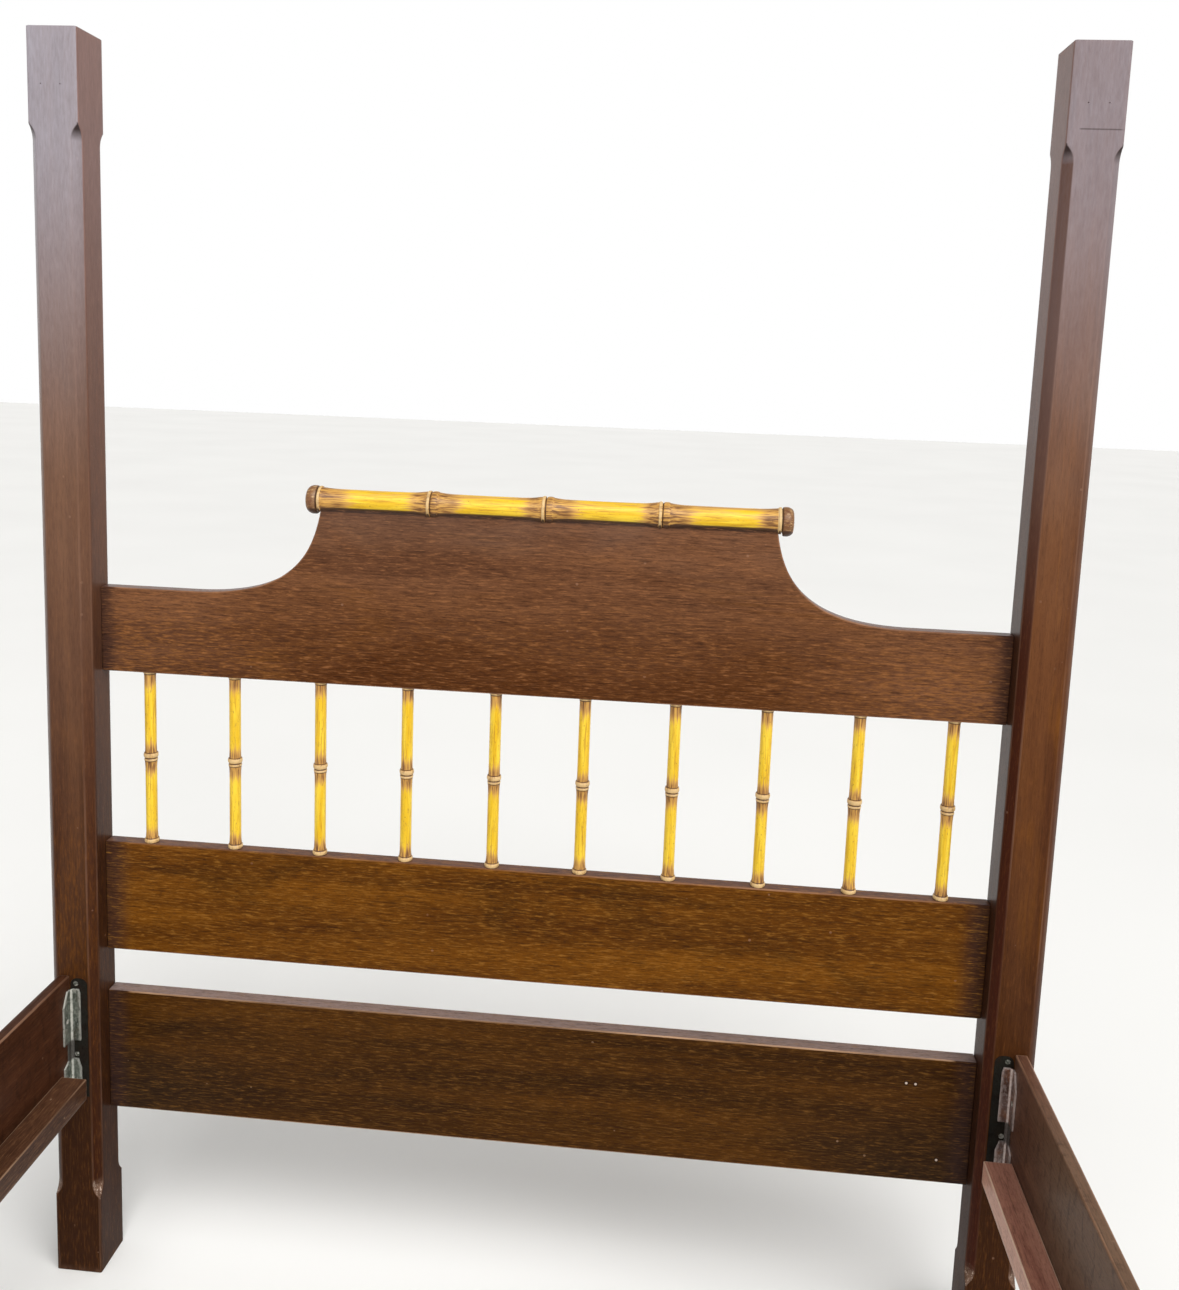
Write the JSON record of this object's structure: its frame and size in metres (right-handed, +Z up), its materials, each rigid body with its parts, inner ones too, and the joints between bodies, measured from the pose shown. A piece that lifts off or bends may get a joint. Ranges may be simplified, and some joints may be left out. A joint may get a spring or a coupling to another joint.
{
  "type": "four-poster bed",
  "caption": "Full-size four-poster bed with stop-chamfered posts, a shaped headboard with faux-bamboo turnings, lift-off side rails and loose slats.",
  "frame": {"origin": "on the floor, under the middle of the bed", "axes": "+Z up, +Y towards the head of the bed, +X to the right for someone who looks at the headboard"},
  "size_m": [1.6344, 2.1932, 2.093],
  "materials": {
    "mahogany": "aged dark red-brown stain, satin",
    "bamboo_paint": "yellow paint with brown antiquing at the nodes, satin",
    "steel": "tarnished",
    "slat_wood": "unfinished"
  },
  "bodies": {
    "frame": {"crest_panel": "mahogany", "crest_roll": "bamboo_paint", "foot_bottom_rail": "mahogany", "foot_middle_rail": "mahogany", "foot_post_left": "mahogany", "foot_post_right": "mahogany", "head_bottom_rail": "mahogany", "head_middle_rail": "mahogany", "head_post_left": "mahogany", "head_post_right": "mahogany", "plate_screw_foot_left_1": "steel", "plate_screw_foot_left_2": "steel", "plate_screw_foot_left_3": "steel", "plate_screw_foot_right_1": "steel", "plate_screw_foot_right_2": "steel", "plate_screw_foot_right_3": "steel", "plate_screw_head_left_1": "steel", "plate_screw_head_left_2": "steel", "plate_screw_head_left_3": "steel", "plate_screw_head_right_1": "steel", "plate_screw_head_right_2": "steel", "plate_screw_head_right_3": "steel", "post_plate_foot_left": "steel", "post_plate_foot_right": "steel", "post_plate_head_left": "steel", "post_plate_head_right": "steel", "spindle_01": "bamboo_paint", "spindle_02": "bamboo_paint", "spindle_03": "bamboo_paint", "spindle_04": "bamboo_paint", "spindle_05": "bamboo_paint", "spindle_06": "bamboo_paint", "spindle_07": "bamboo_paint", "spindle_08": "bamboo_paint", "spindle_09": "bamboo_paint", "spindle_10": "bamboo_paint"},
    "left_side_rail": {"bracket_screw_foot_left_1": "steel", "bracket_screw_foot_left_2": "steel", "bracket_screw_head_left_1": "steel", "bracket_screw_head_left_2": "steel", "ledger_left": "mahogany", "rail_bracket_foot_left": "steel", "rail_bracket_head_left": "steel", "side_rail_left": "mahogany"},
    "right_side_rail": {"bracket_screw_foot_right_1": "steel", "bracket_screw_foot_right_2": "steel", "bracket_screw_head_right_1": "steel", "bracket_screw_head_right_2": "steel", "ledger_right": "mahogany", "rail_bracket_foot_right": "steel", "rail_bracket_head_right": "steel", "side_rail_right": "mahogany"},
    "slat_1": {"slat_1": "slat_wood"},
    "slat_2": {"slat_2": "slat_wood"},
    "slat_3": {"slat_3": "slat_wood"},
    "slat_4": {"slat_4": "slat_wood"}
  },
  "joints": [
    {"name": "left_rail_lift", "type": "slide", "parent": "frame", "child": "left_side_rail", "axis": [0, 0, 1], "range_m": [0, 0.0085]},
    {"name": "right_rail_lift", "type": "slide", "parent": "frame", "child": "right_side_rail", "axis": [0, 0, 1], "range_m": [0, 0.0085]},
    {"name": "slat_1_lift", "type": "slide", "parent": "left_side_rail", "child": "slat_1", "axis": [0, 0, 1], "range_m": [0, 0.18]},
    {"name": "slat_2_lift", "type": "slide", "parent": "left_side_rail", "child": "slat_2", "axis": [0, 0, 1], "range_m": [0, 0.18]},
    {"name": "slat_3_lift", "type": "slide", "parent": "left_side_rail", "child": "slat_3", "axis": [0, 0, 1], "range_m": [0, 0.18]},
    {"name": "slat_4_lift", "type": "slide", "parent": "left_side_rail", "child": "slat_4", "axis": [0, 0, 1], "range_m": [0, 0.18]}
  ],
  "couplings": [
    {"joint": "right_rail_lift", "follows": "left_rail_lift", "ratio": 1}
  ]
}
